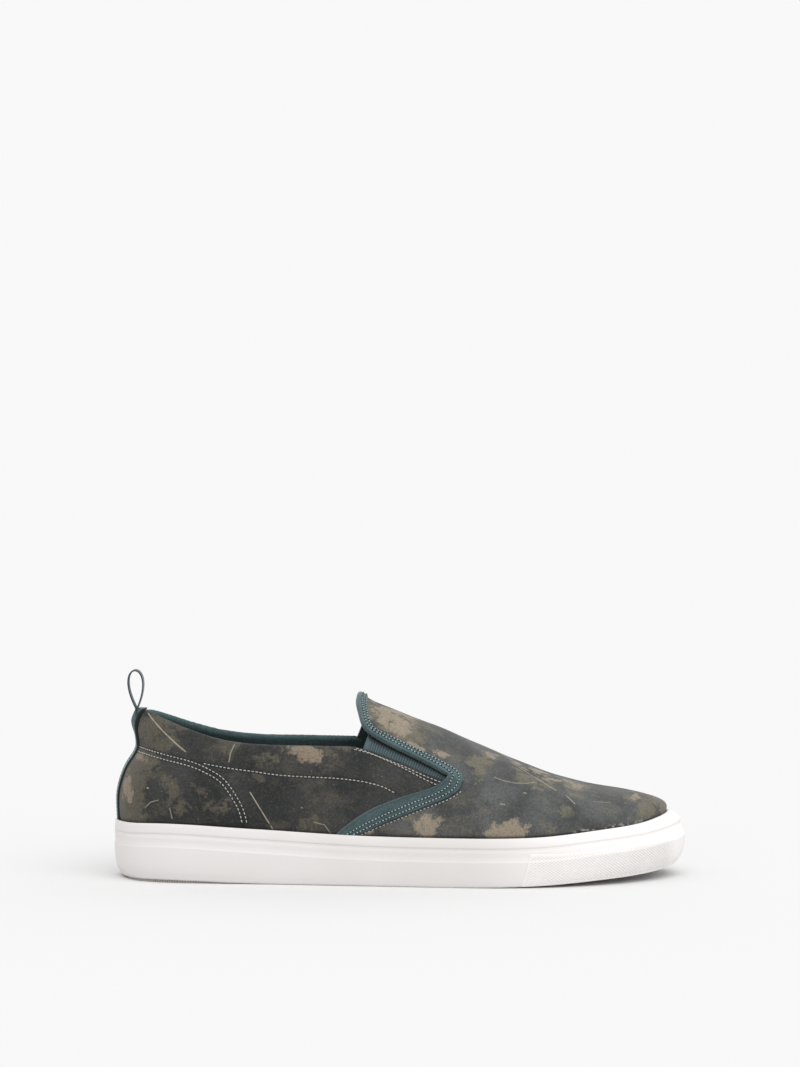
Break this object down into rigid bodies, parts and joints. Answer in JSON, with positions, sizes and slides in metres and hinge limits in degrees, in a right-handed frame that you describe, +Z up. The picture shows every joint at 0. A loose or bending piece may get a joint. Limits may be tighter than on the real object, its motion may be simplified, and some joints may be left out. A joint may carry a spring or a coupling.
{
  "type": "slip_on_sneaker",
  "caption": "Low slip-on sneaker for the right foot, with a white rubber cup sole, a mottled dark upper, ribbed side gores, teal tape edging and a heel pull loop.",
  "frame": {"origin": "Centre of the bounding box in plan, on the floor that the shoe stands on.", "axes": "+X from the heel to the toe, +Z up, +Y towards the inner side of the foot."},
  "size_m": [0.2924, 0.1034, 0.1052],
  "materials": {
    "sole_rubber": "matte moulded",
    "bumper_rubber": "ribbed matte",
    "insole_fabric": "flat woven",
    "upper_cloth": "mottled brushed",
    "tape_cloth": "woven tape",
    "gore_elastic": "ribbed elastic",
    "loop_tape": "woven tape"
  },
  "bodies": {
    "root": {"sole": "sole_rubber", "toe_bumper": "bumper_rubber", "insole": "insole_fabric", "upper": "upper_cloth", "tape": "tape_cloth", "gore_outer": "gore_elastic", "gore_inner": "gore_elastic", "back_stay": "tape_cloth", "pull_loop": "loop_tape"}
  },
  "joints": []
}
